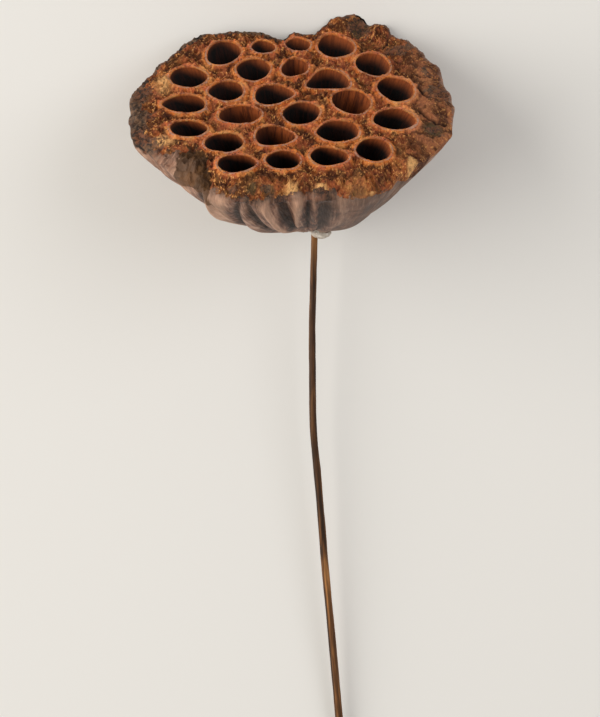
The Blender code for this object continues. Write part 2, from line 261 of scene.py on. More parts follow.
def foldRelief(angle, depth):  # mm that the skin stands out from the plain bowl
    wander = sum(size * np.sin(waves * angle + phase + drift * depth)
                 for waves, size, phase, drift in podForm["foldWander"])
    grown = np.minimum(1, podForm["foldAtRim"] + podForm["foldGrows"] * depth)
    regular = (np.abs(np.sin((podForm["folds"] * angle + wander) / 2)) - 1) * (podForm["foldDepth"] * grown)
    near = -nearSide["sink"] * podForm["foldDepth"] * grown
    for degrees, lean, out, width in nearFolds:
        away = np.abs(awayFrom(angle, degrees + lean * depth) / width)
        near = near + nearSide["strength"] * out * np.exp(-away ** nearSide["shape"])
    share = bump(angle, nearSide) * (1 - smooth(*nearSide["fades"], depth))
    return regular * (1 - share) + near * share


def skinSwells(angle, depth):
    total = 0 * angle
    for degrees, at, out, width, height in podForm["swells"]:
        away = awayFrom(angle, degrees) / width
        total = total + out * np.exp(-(away ** 2) - ((depth - at) / height) ** 2)
    return total * np.minimum(1, 4 * (1 - depth))


def fleshBorder(angle):
    degrees = np.degrees(angle) % 360
    places, edges = zip(*fleshEdge)
    return np.interp(degrees, (*places, places[0] + 360), (*edges, edges[0]))


# the seed cells
# x, y, width, length in mm, turn in degrees, how much it narrows towards +X, depth in mm
seedCells = (
    (-21, 28, 11, 14.5, -16, 0.1, 16.5), (-8.5, 32, 8, 8, 0, 0, 16.5), (2.5, 34.5, 8.5, 9, 18, 0, 16.5),
    (14.5, 33, 12.5, 14.5, 20, 0, 16.5), (26, 22, 11, 15, 22, 0, 16.5), (-32, 15, 12.5, 12, 4, 0, 16.5),
    (-11.5, 19, 11.5, 13, -10, 0, 16.5), (1.5, 20, 9, 12, -12, 0.1, 12),
    (11.3, 11.8, 14.5, 13, 30, -0.5, 16.5), (33, 8, 12, 15, 14, 0, 16.5),
    (-20, 7.5, 12, 11.5, -6, -0.1, 16.5), (-5, 4.5, 13, 12, -6, 0.25, 16.5),
    (-33, 0, 14, 11, 6, -0.15, 16.5), (19, 0, 12.5, 14.5, 14, 0, 13), (-15.5, -6, 14.5, 11, -4, 0, 8),
    (3.5, -6.5, 12, 13, -8, 0, 16.5), (32, -9, 14, 13, 12, -0.2, 16.5), (-31, -14, 12.5, 10, -5, 0.1, 16.5),
    (14.5, -16, 14, 11.5, 4, -0.15, 16.5), (-20, -22, 12.5, 12, 4, 0, 16.5),
    (-4.5, -18.5, 13, 11.5, -8, 0.25, 12), (25.5, -25.5, 11.5, 12.5, 8, 0, 16.5),
    (-16, -33.5, 12.5, 10, 4, 0, 16.5), (-2, -31, 11, 10.5, 6, 0, 16.5), (12, -29, 12.5, 10, -4, 0.15, 16.5),
)
cellForm = {
    "sides": 56, "above": 5, "rows": 16, "foot": 0.66, "meet": 85, "deep": 16.5,
    "wobble": 0.035, "wobbleWaves": ((2, 1.7, 0.5), (3, 2.9, 0.6), (5, 4.1, 0.4)),
    "ribs": 0.12, "ribsFrom": (0.3, 2.5), "floorRound": (0.62, 0.9), "merge": 1e-5,
    "lip": ((1.4, -2.6), (0.75, -0.8), (0.45, -0.2), (0.32, 0.12), (0.2, 0.26), (0.06, 0.24)),  # mm out, up
    "lipUneven": 0.35,
}


def cellEdge(number, turn):  # an outline that isn't a perfect oval
    form = cellForm
    return 1 + form["wobble"] * sum(np.sin(waves * turn + number * shift) * size
                                    for waves, shift, size in form["wobbleWaves"])


def cellPlace(number, turn, reach, height, grow=0.0):
    x, y, width, length, tilt, narrow, _ = seedCells[number]
    across, along = np.cos(turn) * reach, np.sin(turn) * reach
    edge = cellEdge(number, turn)
    u = across * (width / 2 * edge + grow)
    v = along * (length / 2 * edge + grow) * (1 - narrow * across)
    angle = math.radians(tilt)
    lean = 1 + height / cellForm["meet"]
    return (x * lean + u * math.cos(angle) - v * math.sin(angle),
            y * lean + u * math.sin(angle) + v * math.cos(angle))


# mm from the nearest cell's outline (less than 0 inside), its number, and the turn round it
def cellReach(points):
    best = np.full(len(points), 1e9)
    which = np.zeros(len(points), int)
    turnRound = np.zeros(len(points))
    for number, (x, y, width, length, tilt, narrow, _) in enumerate(seedCells):
        lean = 1 + np.minimum(0, points[:, 2]) / cellForm["meet"]
        dx, dy = points[:, 0] - x * lean, points[:, 1] - y * lean
        angle = math.radians(tilt)
        u = dx * math.cos(angle) + dy * math.sin(angle)
        v = -dx * math.sin(angle) + dy * math.cos(angle)
        a = u / (width / 2)
        b = v / (length / 2) / np.maximum(0.3, 1 - narrow * np.clip(a, -1.2, 1.2))
        turn = np.arctan2(b, a)
        reach = np.hypot(a, b) / cellEdge(number, turn)
        away = np.hypot(dx, dy) * (1 - 1 / np.maximum(reach, 0.05))
        closer = away < best
        best[closer], which[closer], turnRound[closer] = away[closer], number, turn[closer]
    return best, which, turnRound


# what lies on the seed face: x, y in mm, size across and along, mm up
lumps = (
    (9.5, -42.4, 2.2, 1.9, 1.3), (37.5, -31.0, 1.9, 3.6, 1.3), (25.4, -42.6, 1.5, 1.0, 0.9),
    (-39.5, 11.0, 3.4, 6.5, 0.7), (-38.5, -19.5, 4.2, 3.2, 0.8), (0.5, -43.0, 2.4, 3.0, 0.9),
    (30.0, -42.0, 2.0, 1.0, 0.5),
)
brownLumps = ((27.0, 41.5, 3.0, 4.0, 1.6), (45.0, 1.5, 4.2, 4.6, 0.7))
hollows = (
    (44.0, -11.8, 3.4, 4.2, 0.9), (-30.5, -36.0, 5.0, 9.0, 0.9), (22.5, 43.0, 3.2, 4.6, 1.1),
    (-45.0, 5.0, 3.2, 4.5, 0.6), (34.0, -38.5, 4.2, 2.2, 0.8), (20.5, -42.0, 4.0, 2.6, 0.55),
    (-11.5, -43.6, 1.8, 2.0, 0.8), (-6.0, -43.4, 1.9, 2.2, 0.9), (44.5, 9.0, 4.6, 3.2, 0.5),
)
leathers = (  # where dark skin curls in over the face
    (22.6, 43.5, 4.2, 5.6, 1.0), (34.5, 31.0, 5.4, 3.0, 0.9), (46.5, 9.0, 4.8, 4.6, 0.9),
    (44.2, -12.0, 3.0, 3.4, 0.7), (-45.5, 6.5, 2.8, 4.4, 1.0), (-46.5, -9.0, 4.6, 7.5, 1.0),
    (-42.5, -21.0, 5.4, 4.6, 0.9), (-6.0, -43.8, 2.2, 2.0, 0.7), (33.5, -38.5, 5.5, 2.2, 0.6),
    (-17.0, -43.5, 1.6, 2.0, 0.6), (44.0, 19.0, 5.0, 3.0, 0.5),
)
barks = ((-30.0, -34.0, 5.6, 10.0, 1.4), (-26.5, -40.5, 3.0, 3.2, 1.1))  # smooth brown skin on the face side
cracks = (  # points in mm on the face
    ((26, 32.5), (30, 33.8), (31.5, 34.2)), ((27, 30.5), (32, 28.8), (36, 29.0), (39, 29.6)),
    ((39.5, 17.5), (42, 15.8), (44.5, 16.8)), ((40, -3), (43, -6.5), (45, -8), (48, -7.4)),
    ((40, 10), (42.5, 5.5), (46, 5.0), (50, 4.6)), ((38.0, -38.0), (38.6, -40.5)),
    ((11.2, -47.5), (11.6, -51.0)), ((-49, -4), (-44, -2.5)), ((-46, -26), (-43, -28.5)),
)
crackWidth = 0.45  # mm
ridgeArcs = (  # a second rim beside some cells: cell, mm out, from and to in degrees, mm up
    (14, 2.4, -50, 55, 0.7), (20, 1.9, -20, 100, 0.8), (13, 1.3, 140, 260, 0.5), (11, 1.6, 20, 120, 0.4),
)
arcForm = {"width": 0.4, "groove": 0.9, "ends": 12}  # mm, share, degrees
fleshForm = {
    "soft": 1.0, "softSize": 4.2, "ridged": 1.1, "ridgeSize": 2.2, "fine": 0.8, "fineSize": 1.3,
    "sunk": 1.0, "strands": 0.9, "strandSize": 3.6, "strandsUp": 0.5, "leather": 1.1, "leatherSize": 4.0,
    "flatter": 0.3,  # how much the noise follows height
    "wornRight": (34, 42, 0.6),  # smoother flesh from x to x, mm, and how much
    "crackDepth": 1.3,
    "nearRim": {"angle": 268, "spread": 52, "from": (0.80, 0.93)},
}


def toLine(points, line):  # mm to the nearest point of a line
    nearest = np.full(len(points), 1e9)
    for (ax, ay), (bx, by) in zip(line, line[1:]):
        run = np.array((bx - ax, by - ay))
        x, y = points[:, 0] - ax, points[:, 1] - ay
        share = np.clip((x * run[0] + y * run[1]) / (run @ run), 0, 1)
        nearest = np.minimum(nearest, np.hypot(x - share * run[0], y - share * run[1]))
    return nearest


def spots(points, places):
    total = np.zeros(len(points))
    for x, y, across, along, up in places:
        away = ((points[:, 0] - x) / across) ** 2 + ((points[:, 1] - y) / along) ** 2
        total += up * np.exp(-away ** 1.3)
    return total


def crackMask(points):
    mask = np.zeros(len(points))
    for line in cracks:
        mask = np.maximum(mask, np.exp(-(toLine(points, line) / crackWidth) ** 2))
    return mask


def nearRim(angle, share):  # 1 where the flesh hangs in strands over the near rim
    return smooth(*fleshForm["nearRim"]["from"], share) * bump(angle, fleshForm["nearRim"])


def faceRelief(points, away, which, turn):  # mm up or down on the seed face
    form = fleshForm
    flat = points * (1, 1, form["flatter"])
    angle = np.arctan2(points[:, 1], points[:, 0])
    far = np.hypot(points[:, 0], points[:, 1])
    strands = np.stack([45 * np.cos(angle), 45 * np.sin(angle), far / 3.5], 1)
    relief = form["soft"] * grain(flat, form["softSize"], 2)
    relief = relief + form["ridged"] * (ridges(flat, form["ridgeSize"], 2, 7) - 0.5)
    relief = relief + form["fine"] * grain(flat, form["fineSize"], 2, 3)
    # the flesh sinks between the lips
    relief -= form["sunk"] * smooth(0.4, 2.6, away) * (1 - 0.7 * smooth(3.0, 6.0, away))
    hanging = form["strands"] * grain(strands, form["strandSize"], 2, 11) + form["strandsUp"]
    relief += nearRim(angle, far / rimRadius(angle)) * hanging
    low, high, wornAndLit = form["wornRight"]
    smoother = np.clip(spots(points, leathers) + wornAndLit * smooth(low, high, points[:, 0]), 0, 1)
    relief *= (0.4 + 0.6 * smooth(0.2, 1.2, away)) * (1 - 0.7 * smoother)
    leather = np.clip(spots(points, leathers), 0, 1)
    relief += leather * form["leather"] * (ridges(flat * (1, 1.6, 1), form["leatherSize"], 3, 21) - 0.6)
    relief += spots(points, brownLumps) - spots(points, hollows) - form["crackDepth"] * crackMask(points)
    for number, out, start, end, up in ridgeArcs:
        degrees = np.degrees(turn) % 360 if start > 90 else np.degrees(turn)
        near = (which == number) * smooth(start, start + arcForm["ends"], degrees)
        near = near * (1 - smooth(end - arcForm["ends"], end, degrees))
        ridge = np.exp(-((away - out) / arcForm["width"]) ** 2)
        groove = np.exp(-((away - out + 0.9) / arcForm["width"]) ** 2)
        relief += near * up * (ridge - arcForm["groove"] * groove)
    return relief


# the pod's body; while it is cut, the material's slot tells which part a face came from
podSlots = {"face": 0, "side": 1, "collar": 2, "plug": 3}


def podBody(material):
    bm = bmesh.new()
    cuts = podForm["faceCuts"]
    bmesh.ops.create_grid(bm, x_segments=cuts, y_segments=cuts, size=1)
    for vert in bm.verts:  # the square pulled out to a disc
        a, b = vert.co.x, vert.co.y
        reach = max(abs(a), abs(b))
        if reach > 1e-6:
            turn = math.pi / 4 * (b / a) if abs(a) >= abs(b) else math.pi / 2 - math.pi / 4 * (a / b)
            if (a if abs(a) >= abs(b) else b) < 0:
                turn += math.pi
            vert.co = (reach * math.cos(turn), reach * math.sin(turn), 0)
    ring = [edge for edge in bm.edges if edge.is_boundary]
    rows = [(i / podForm["skinRows"]) ** podForm["rowsCrowd"] for i in range(1, podForm["skinRows"] + 1)]
    sizes = [1 - podForm["skinTaper"] * depth for depth in rows]
    rows += [1.0] * podForm["scarRows"]
    scarSize = podForm["scarSize"]
    sizes += [scarSize * (1 - i / podForm["scarRows"]) + 1e-4 for i in range(1, podForm["scarRows"] + 1)]
    last = 1.0
    for depth, size in zip(rows, sizes):
        made = bmesh.ops.extrude_edge_only(bm, edges=ring)["geom"]
        ring = [part for part in made if isinstance(part, bmesh.types.BMEdge) and part.is_boundary]
        verts = list({vert for edge in ring for vert in edge.verts})
        bmesh.ops.scale(bm, vec=(size / last, size / last, 1), verts=verts)
        for vert in verts:
            vert.co.z = -depth
        last = size
    bmesh.ops.remove_doubles(bm, verts=bm.verts, dist=1e-4)
    holes = [edge for edge in bm.edges if edge.is_boundary]
    if holes:
        bmesh.ops.holes_fill(bm, edges=holes)
    pod = pieceFrom("driedPod", bm, material, len(podSlots))
    for polygon in pod.data.polygons:
        polygon.material_index = podSlots["face" if polygon.center.z > -1e-4 else "side"]
    unit = readPoints(pod.data)
    angle = np.arctan2(unit[:, 1], unit[:, 0])
    share = np.hypot(unit[:, 0], unit[:, 1])
    onFace = unit[:, 2] > -1e-4
    inScar = unit[:, 2] < -0.9999

    rim = rimRadius(angle)
    face = np.stack([share * rim * np.cos(angle), share * rim * np.sin(angle), 0 * rim], 1)
    face[:, 2] = faceHeight(face[:, 0], face[:, 1])
    away, which, turn = cellReach(face)
    settle = 1 - podForm["rimSettle"] * smooth(0.95, 1.0, share)  # the relief fades towards the rim
    face[:, 2] += faceRelief(face, away, which, turn) * settle + spots(face, lumps)

    depth = -unit[:, 2]
    top = rimHeight(angle)
    turned = np.cos(angle - math.radians(podForm["fullerSide"]))
    power = podForm["bowlPower"] + podForm["bowlPowerMore"] * turned
    power += podForm["belly"]["power"] * bump(angle, podForm["belly"])
    radius = podForm["scarRadius"] + (rim - podForm["scarRadius"]) * (1 - depth**power)
    fade = np.minimum(1, radius / podForm["foldFullRadius"])
    fade = fade * np.minimum(1, podForm["foldEnds"] * (1 - depth))
    around = podForm["around"]
    plain = np.stack([around * np.cos(angle), around * np.sin(angle), 5 * depth], 1)
    streaks = sum(grain(plain, size, octaves, shift) * up for size, octaves, shift, up in podForm["streaks"])
    radius = radius + (foldRelief(angle, depth) + streaks) * fade * smooth(-0.02, 0.06, depth)
    radius = radius + skinSwells(angle, depth)
    form = podForm["leathery"]
    leathery = bump(angle, form) * (1 - smooth(*form["ends"], depth))
    curls = form["grain"] * grain(plain, form["size"], 3, 15) - form["sink"]
    radius = radius + leathery * curls * smooth(-0.02, 0.02, depth)
    tuck = podForm["tuck"]
    tucked = np.maximum(0, (depth - tuck["start"]) / (1 - tuck["start"]))
    radius = radius - tuck["reach"] * bump(angle, tuck) * tucked
    scarEdge = podForm["scarRadius"] - tuck["reach"] * bump(angle, tuck)
    radius = np.where(inScar, scarEdge * share / scarSize, radius)
    lean = podForm["lean"]
    side = np.stack([lean[0] * depth + radius * np.cos(angle), lean[1] * depth + radius * np.sin(angle),
                     top - (podForm["depth"] + top) * depth], 1)
    side[:, 2] += np.where(inScar, podForm["scarGrain"] * grain(side, 1.5, 2), 0)
    writePoints(pod.data, np.where(onFace[:, None], face, side))
    return pod


def cellTools(number):  # the collar that becomes a lip, and the plug that cuts the cell
    depth = seedCells[number][6]
    made = []
    for kind in ("collar", "plug"):
        count = len(cellForm["lip"]) if kind == "collar" else cellForm["rows"]
        bm = tube(cellForm["sides"], count - 2)
        bmesh.ops.triangulate(bm, faces=[face for face in bm.faces if len(face.verts) > 4])
        obj = pieceFrom(f"{kind}{number}", bm, bpy.data.materials["driedPod"], len(podSlots))
        slot = podSlots[kind]
        obj.data.polygons.foreach_set("material_index", [slot] * len(obj.data.polygons))
        unit = readPoints(obj.data)
        turn = np.arctan2(unit[:, 1], unit[:, 0])
        step = np.rint((unit[:, 2] + 1) / 2 * (count - 1)).astype(int)
        if kind == "collar":
            grow, rise = (np.array([row[i] for row in cellForm["lip"]])[step] for i in (0, 1))
            x, y = cellPlace(number, turn, 1.0, 0.0, grow)
            uneven = cellForm["lipUneven"] * grain(np.stack([x, y, 0 * x], 1), 2.5, 2, 4)
            z = faceHeight(x, y) + rise + np.where(step > 1, uneven, 0)
        else:
            down = 1 - step / (count - 1)  # 0 at the top of the plug, 1 at its foot
            z = cellForm["above"] - down**1.25 * (depth + cellForm["above"])
            inside = np.maximum(0, -z)
            fallen = np.clip((cellForm["above"] - z) / (cellForm["deep"] + cellForm["above"]), 0, 1)
            size = 1 - (1 - cellForm["foot"]) * fallen
            lowest, second = cellForm["floorRound"]  # the last two rings close in
            size = np.where(step == 0, size * lowest, np.where(step == 1, size * second, size))
            ribs = np.sin(23 * turn + number) + 0.8 * np.sin(17 * turn + 2 * number + 0.12 * z)
            grow = cellForm["ribs"] * ribs * smooth(*cellForm["ribsFrom"], inside)
            size = size * (0.99 + 0.02 * smooth(-2.5, 0.8, z))
            x, y = cellPlace(number, turn, size, np.minimum(0, z), grow)
        writePoints(obj.data, np.stack([x, y, z], 1))
        made.append(obj)
    return made


def carve(obj, operation, tools):
    group = bpy.data.collections.new(operation.lower())
    bpy.context.scene.collection.children.link(group)
    for tool in tools:
        bpy.context.scene.collection.objects.unlink(tool)
        group.objects.link(tool)
    modifier = obj.modifiers.new(operation.lower(), "BOOLEAN")
    modifier.operation = operation
    modifier.operand_type = "COLLECTION"
    modifier.collection = group
    modifier.solver = "MANIFOLD"
    graph = bpy.context.evaluated_depsgraph_get()
    mesh = bpy.data.meshes.new_from_object(obj.evaluated_get(graph))
    obj.modifiers.clear()
    obj.data = mesh
    for tool in tools:
        bpy.data.objects.remove(tool)
    bpy.data.collections.remove(group)


def dropSlivers(mesh):  # the cutting leaves a few slivers that are folded back on themselves
    bm = bmesh.new()
    bm.from_mesh(mesh)
    bmesh.ops.remove_doubles(bm, verts=bm.verts, dist=cellForm["merge"])
    bmesh.ops.triangulate(bm, faces=bm.faces)
    twins = {}
    for face in bm.faces:
        twins.setdefault(frozenset(face.verts), []).append(face)
    folded = [face for faces in twins.values() if len(faces) > 1 for face in faces]
    bmesh.ops.delete(bm, geom=folded, context="FACES")
    bm.faces.ensure_lookup_table()
    body, fresh = set(), {bm.faces[0]}
    while fresh:  # all that hangs together with the first face
        body |= fresh
        fresh = {other for face in fresh for edge in face.edges for other in edge.link_faces} - body
    loose = [face for face in bm.faces if face not in body]
    bmesh.ops.delete(bm, geom=loose, context="FACES")
    openEdges = sum(not edge.is_manifold for edge in bm.edges)
    print("slivers dropped:", len(folded) + len(loose), "open edges:", openEdges)
    bm.to_mesh(mesh)
    bm.free()


def cameFrom(mesh, slot):  # points of the faces that one part gave
    slots = np.empty(len(mesh.polygons), int)
    mesh.polygons.foreach_get("material_index", slots)
    counts = np.empty(len(mesh.polygons), int)
    mesh.polygons.foreach_get("loop_total", counts)
    corners = np.empty(len(mesh.loops), int)
    mesh.loops.foreach_get("vertex_index", corners)
    found = np.zeros(len(mesh.vertices), bool)
    found[corners[np.repeat(slots == slot, counts)]] = True
    return found


maskForm = {
    "inner": -20,  # mm past the rim that stands for the inside of a cell
    "rimDark": ({"angle": 125, "spread": 76}, {"angle": 198, "spread": 10}), "rimDarkLeast": 0.2,
    "bare": {"angle": 222, "spread": 11}, "tucked": 0.8,  # where no dark skin tucks in over the rim
    "calm": {"angle": 308, "spread": 24},
    "scar": {"angle": 235, "spread": 60}, "scarFrom": (0.90, 0.97), "scarShade": 0.9,
    "barkEnds": 4, "litFrom": 25, "paleLeast": 0.25,
    "wornX": (30, 42), "wornY": (-34, -20), "shallowUnder": 16,
}


def podMasks(mesh):
    form, inner = maskForm, maskForm["inner"]
    points = readPoints(mesh)
    x, y, z = points.T
    angle = np.arctan2(y, x)
    for _ in range(3):  # the skin's rings drift sideways with depth
        top = rimHeight(angle)
        depth = np.clip((top - z) / (podForm["depth"] + top), 0, 1)
        angle = np.arctan2(y - podForm["lean"][1] * depth, x - podForm["lean"][0] * depth)
    rim = rimRadius(angle)
    share = np.hypot(x, y) / rim
    onSide, onCollar, inCell = (cameFrom(mesh, podSlots[kind]) for kind in ("side", "collar", "plug"))
    past = np.where(onSide & ~onCollar, top - z, (share - 1) * rim)
    away, which, turn = cellReach(points)
    past = np.where(inCell, inner, past)
    down = np.where(inCell, np.maximum(0, faceHeight(x, y) + 0.3 - z), 0)
    depths = np.array([cell[6] for cell in seedCells])[which]
    run = np.stack([podForm["around"] * np.cos(angle), podForm["around"] * np.sin(angle), past], 1)
    ring = np.stack([5 * np.cos(turn) + 31 * which, 5 * np.sin(turn) + 17 * which, down], 1)
    onFace = (past < 3) & ~inCell
    leftRim = np.maximum(*(bump(angle, part) for part in form["rimDark"]))
    tucked = smooth(0.6, -1.6, past) * (1 - bump(angle, form["bare"]))
    # painted shade: the hollow round the stem's scar is coloured dark
    scar = form["scarShade"] * smooth(*form["scarFrom"], depth) * bump(angle, form["scar"])
    # painted light: each cell's wall is coloured lighter on the side round litFrom, where the key light
    # falls, and darker on the other side
    lit = 0.5 + 0.5 * np.cos(turn - math.radians(form["litFrom"]))
    least = form["rimDarkLeast"], form["paleLeast"]
    masks = {
        "grown": points,
        "run": np.where(inCell[:, None], ring, run),
        "edge": np.where(inCell, inner, past - fleshBorder(angle)),
        "past": past,
        "rimDark": least[0] + (1 - least[0]) * leftRim,
        "tucked": form["tucked"] * tucked,
        "calm": np.where(onSide, bump(angle, form["calm"]), 0),
        "scar": np.where(onSide, scar, 0),
        "bark": np.where(inCell | (past > form["barkEnds"]), 0, spots(points, barks)),
        # painted light on the cells' walls, lighter on their lit side
        "paintedLitSide": np.where(inCell, smooth(0.35, 0.85, lit), 0),
        "lip": np.where(inCell, np.minimum(away, 0), away),
        "pale": least[1] + (1 - least[1]) * smooth(0.7, -0.3, np.sin(turn)),
        "down": down,
        "shallow": np.where(inCell & (depths < form["shallowUnder"]), 1.0, 0.0),
        "crack": np.where(onFace, crackMask(points), 0),
        "strand": np.where(inCell, 0, nearRim(angle, share)),
        # the smoother worn right of the face, which the material also colours lighter as painted light
        "wornAndLit": np.where(inCell, 0, smooth(*form["wornX"], x) * smooth(*form["wornY"], y)),
        "crest": np.where(inCell, 0, foldRelief(angle, depth) + 1.1),
    }
    for name, places in (("ochre", lumps), ("hollow", hollows), ("leather", leathers)):
        masks[name] = np.where(onFace, spots(points, places), 0)
    for name, values in masks.items():
        keepOnPoints(mesh, name, values)
    print("masks kept:", len(masks))


def buildPod(material):
    pod = podBody(material)
    print("pod body:", len(pod.data.polygons), "faces")
    tools = [cellTools(number) for number in range(len(seedCells))]
    carve(pod, "UNION", [pair[0] for pair in tools])
    carve(pod, "DIFFERENCE", [pair[1] for pair in tools])
    print("seed cells cut:", len(pod.data.polygons), "faces")
    dropSlivers(pod.data)
    podMasks(pod.data)
    pod.data.polygons.foreach_set("material_index", [0] * len(pod.data.polygons))
    while len(pod.data.materials) > 1:
        pod.data.materials.pop()
    putOnTable(pod.data, layDown(readPoints(pod.data)))
    pod.data.set_sharp_from_angle(angle=math.radians(podForm["sharpFrom"]))
    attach(pod, "root")
    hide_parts("seed_pod")
    return pod


# materials
def tint(code):  # a colour as it looks on screen, made linear
    values = [int(code[i:i + 2], 16) / 255 for i in (0, 2, 4)]
    return (*[v / 12.92 if v < 0.04045 else ((v + 0.055) / 1.055) ** 2.4 for v in values], 1)


def newMaterial(name):
    material = bpy.data.materials.new(name)
    material.use_nodes = True
    return material, material.node_tree, material.node_tree.nodes["Principled BSDF"]


def addNode(tree, kind, inputs=None, **settings):
    node = tree.nodes.new(kind)
    for name, value in settings.items():
        setattr(node, name, value)
    for socket, value in (inputs or {}).items():
        if isinstance(value, bpy.types.NodeSocket):
            tree.links.new(value, node.inputs[socket])
        else:
            node.inputs[socket].default_value = value
    return node


def useGroup(tree, name, inputs):
    return addNode(tree, "ShaderNodeGroup", inputs, node_tree=bpy.data.node_groups[name]).outputs


def maths(tree, operation, a, b=0.0):
    return addNode(tree, "ShaderNodeMath", {0: a, 1: b}, operation=operation).outputs[0]


def times(tree, a, b):
    return maths(tree, "MULTIPLY", a, b)


def plus(tree, a, b):
    return maths(tree, "ADD", a, b)


def remap(tree, value, low, high, toLow=0.0, toHigh=1.0):
    inputs = {"Value": value, "From Min": low, "From Max": high, "To Min": toLow, "To Max": toHigh}
    return addNode(tree, "ShaderNodeMapRange", inputs, interpolation_type="SMOOTHSTEP").outputs[0]


def blend(tree, factor, a, b):
    return addNode(tree, "ShaderNodeMix", {0: factor, 6: a, 7: b}, data_type="RGBA").outputs[2]


def mottle(tree, where, size, dark, middle, light):
    inputs = {"Place": where, "Size": size, "Dark": dark, "Middle": middle, "Light": light}
    return useGroup(tree, "mottle", inputs)["Colour"]


def wire(tree, shader, colour, height, strength, distance):  # colour and relief
    bumps = {"Strength": strength, "Distance": distance, "Height": height}
    tree.links.new(colour, shader.inputs["Base Color"])
    tree.links.new(addNode(tree, "ShaderNodeBump", bumps).outputs[0], shader.inputs["Normal"])


def layers(tree, base, coats):  # colours over one another, each by its mask
    for factor, over in coats:
        base = blend(tree, factor, base, over)
    return base


def mask(tree, name):
    return addNode(tree, "ShaderNodeAttribute", attribute_name=name).outputs["Fac"]


def place(tree, name, scale=(1, 1, 1)):
    vector = addNode(tree, "ShaderNodeAttribute", attribute_name=name).outputs["Vector"]
    return addNode(tree, "ShaderNodeMapping", {"Vector": vector, "Scale": scale}).outputs[0]


def speckle(tree, vector, size, detail=3.0, rough=0.55, distort=0.0):
    inputs = {"Vector": vector, "Scale": 1 / size, "Detail": detail, "Roughness": rough,
              "Distortion": distort}
    return addNode(tree, "ShaderNodeTexNoise", inputs, noise_dimensions="3D").outputs["Fac"]


def newGroup(name, takes, gives):
    group = bpy.data.node_groups.new(name, "ShaderNodeTree")
    for socket, kind in takes:
        group.interface.new_socket(name=socket, in_out="INPUT", socket_type=kind)
    for socket, kind in gives:
        group.interface.new_socket(name=socket, in_out="OUTPUT", socket_type=kind)
    return group, group.nodes.new("NodeGroupInput"), group.nodes.new("NodeGroupOutput")


number, colour, vector = "NodeSocketFloat", "NodeSocketColor", "NodeSocketVector"
groupForm = {  # noise as size, detail, roughness, distortion
    "fibreCoarse": (1.3, 5.0, 0.7, 0.2), "fibreFine": (0.5, 3.0, 0.6), "fibreBeads": 1.3,
    "fibreMix": (0.55, 0.25, 0.2), "fibrePits": (0.50, 0.38), "fibreCrumbs": (0.53, 0.63),
    "streakWide": (1.0, 3.0, 0.6), "streakThin": (0.35, 2.0, 0.5), "streakMix": (0.65, 0.35),
    "streakLines": (0.44, 0.60),
    "mottleDrift": (1.0, 4.0, 0.6, 0.4), "mottleLow": (0.36, 0.52), "mottleHigh": (0.50, 0.66),
}


def scaledPlace(group, given):  # the place, measured in sizes
    scaled = addNode(group, "ShaderNodeVectorMath", {0: given.outputs["Place"]}, operation="SCALE")
    group.links.new(maths(group, "DIVIDE", 1.0, given.outputs["Size"]), scaled.inputs[3])
    return scaled.outputs[0]


def fibreGroup():  # crumbly fibres: a height, a mask of the pits and one of the raised crumbs
    group, given, out = newGroup("fibres", [("Place", vector), ("Size", number)],
                                 [("Height", number), ("Pits", number), ("Crumbs", number)])
    scaled = scaledPlace(group, given)
    coarse = speckle(group, scaled, *groupForm["fibreCoarse"])
    fine = speckle(group, scaled, *groupForm["fibreFine"])
    beads = {"Vector": scaled, "Scale": groupForm["fibreBeads"], "Randomness": 1.0}
    cells = addNode(group, "ShaderNodeTexVoronoi", beads, feature="SMOOTH_F1", voronoi_dimensions="3D")
    bead = maths(group, "SUBTRACT", 1.0, cells.outputs["Distance"])
    mix = groupForm["fibreMix"]
    height = plus(group, times(group, coarse, mix[0]), times(group, fine, mix[1]))
    height = plus(group, height, times(group, bead, mix[2]))
    group.links.new(height, out.inputs["Height"])
    group.links.new(remap(group, height, *groupForm["fibrePits"]), out.inputs["Pits"])
    group.links.new(remap(group, height, *groupForm["fibreCrumbs"]), out.inputs["Crumbs"])


def streakGroup():  # fine lines that run one way
    group, given, out = newGroup("streaks", [("Place", vector), ("Width", number), ("Length", number)],
                                 [("Height", number), ("Lines", number)])
    width = maths(group, "DIVIDE", 1.0, given.outputs["Width"])
    length = maths(group, "DIVIDE", 1.0, given.outputs["Length"])
    stretch = addNode(group, "ShaderNodeCombineXYZ", {0: width, 1: width, 2: length}).outputs[0]
    sides = {0: given.outputs["Place"], 1: stretch}
    run = addNode(group, "ShaderNodeVectorMath", sides, operation="MULTIPLY").outputs[0]
    wide = speckle(group, run, *groupForm["streakWide"])
    thin = speckle(group, run, *groupForm["streakThin"])
    mix = groupForm["streakMix"]
    height = plus(group, times(group, wide, mix[0]), times(group, thin, mix[1]))
    group.links.new(height, out.inputs["Height"])
    group.links.new(remap(group, height, *groupForm["streakLines"]), out.inputs["Lines"])


def mottleGroup():  # slow drift between three colours
    takes = [("Place", vector), ("Size", number), ("Dark", colour), ("Middle", colour), ("Light", colour)]
    group, given, out = newGroup("mottle", takes, [("Colour", colour)])
    drift = speckle(group, scaledPlace(group, given), *groupForm["mottleDrift"])
    low = remap(group, drift, *groupForm["mottleLow"])
    high = remap(group, drift, *groupForm["mottleHigh"])
    dark, middle, light = (given.outputs[name] for name in ("Dark", "Middle", "Light"))
    tones = layers(group, dark, ((low, middle), (high, light)))
    group.links.new(tones, out.inputs["Colour"])


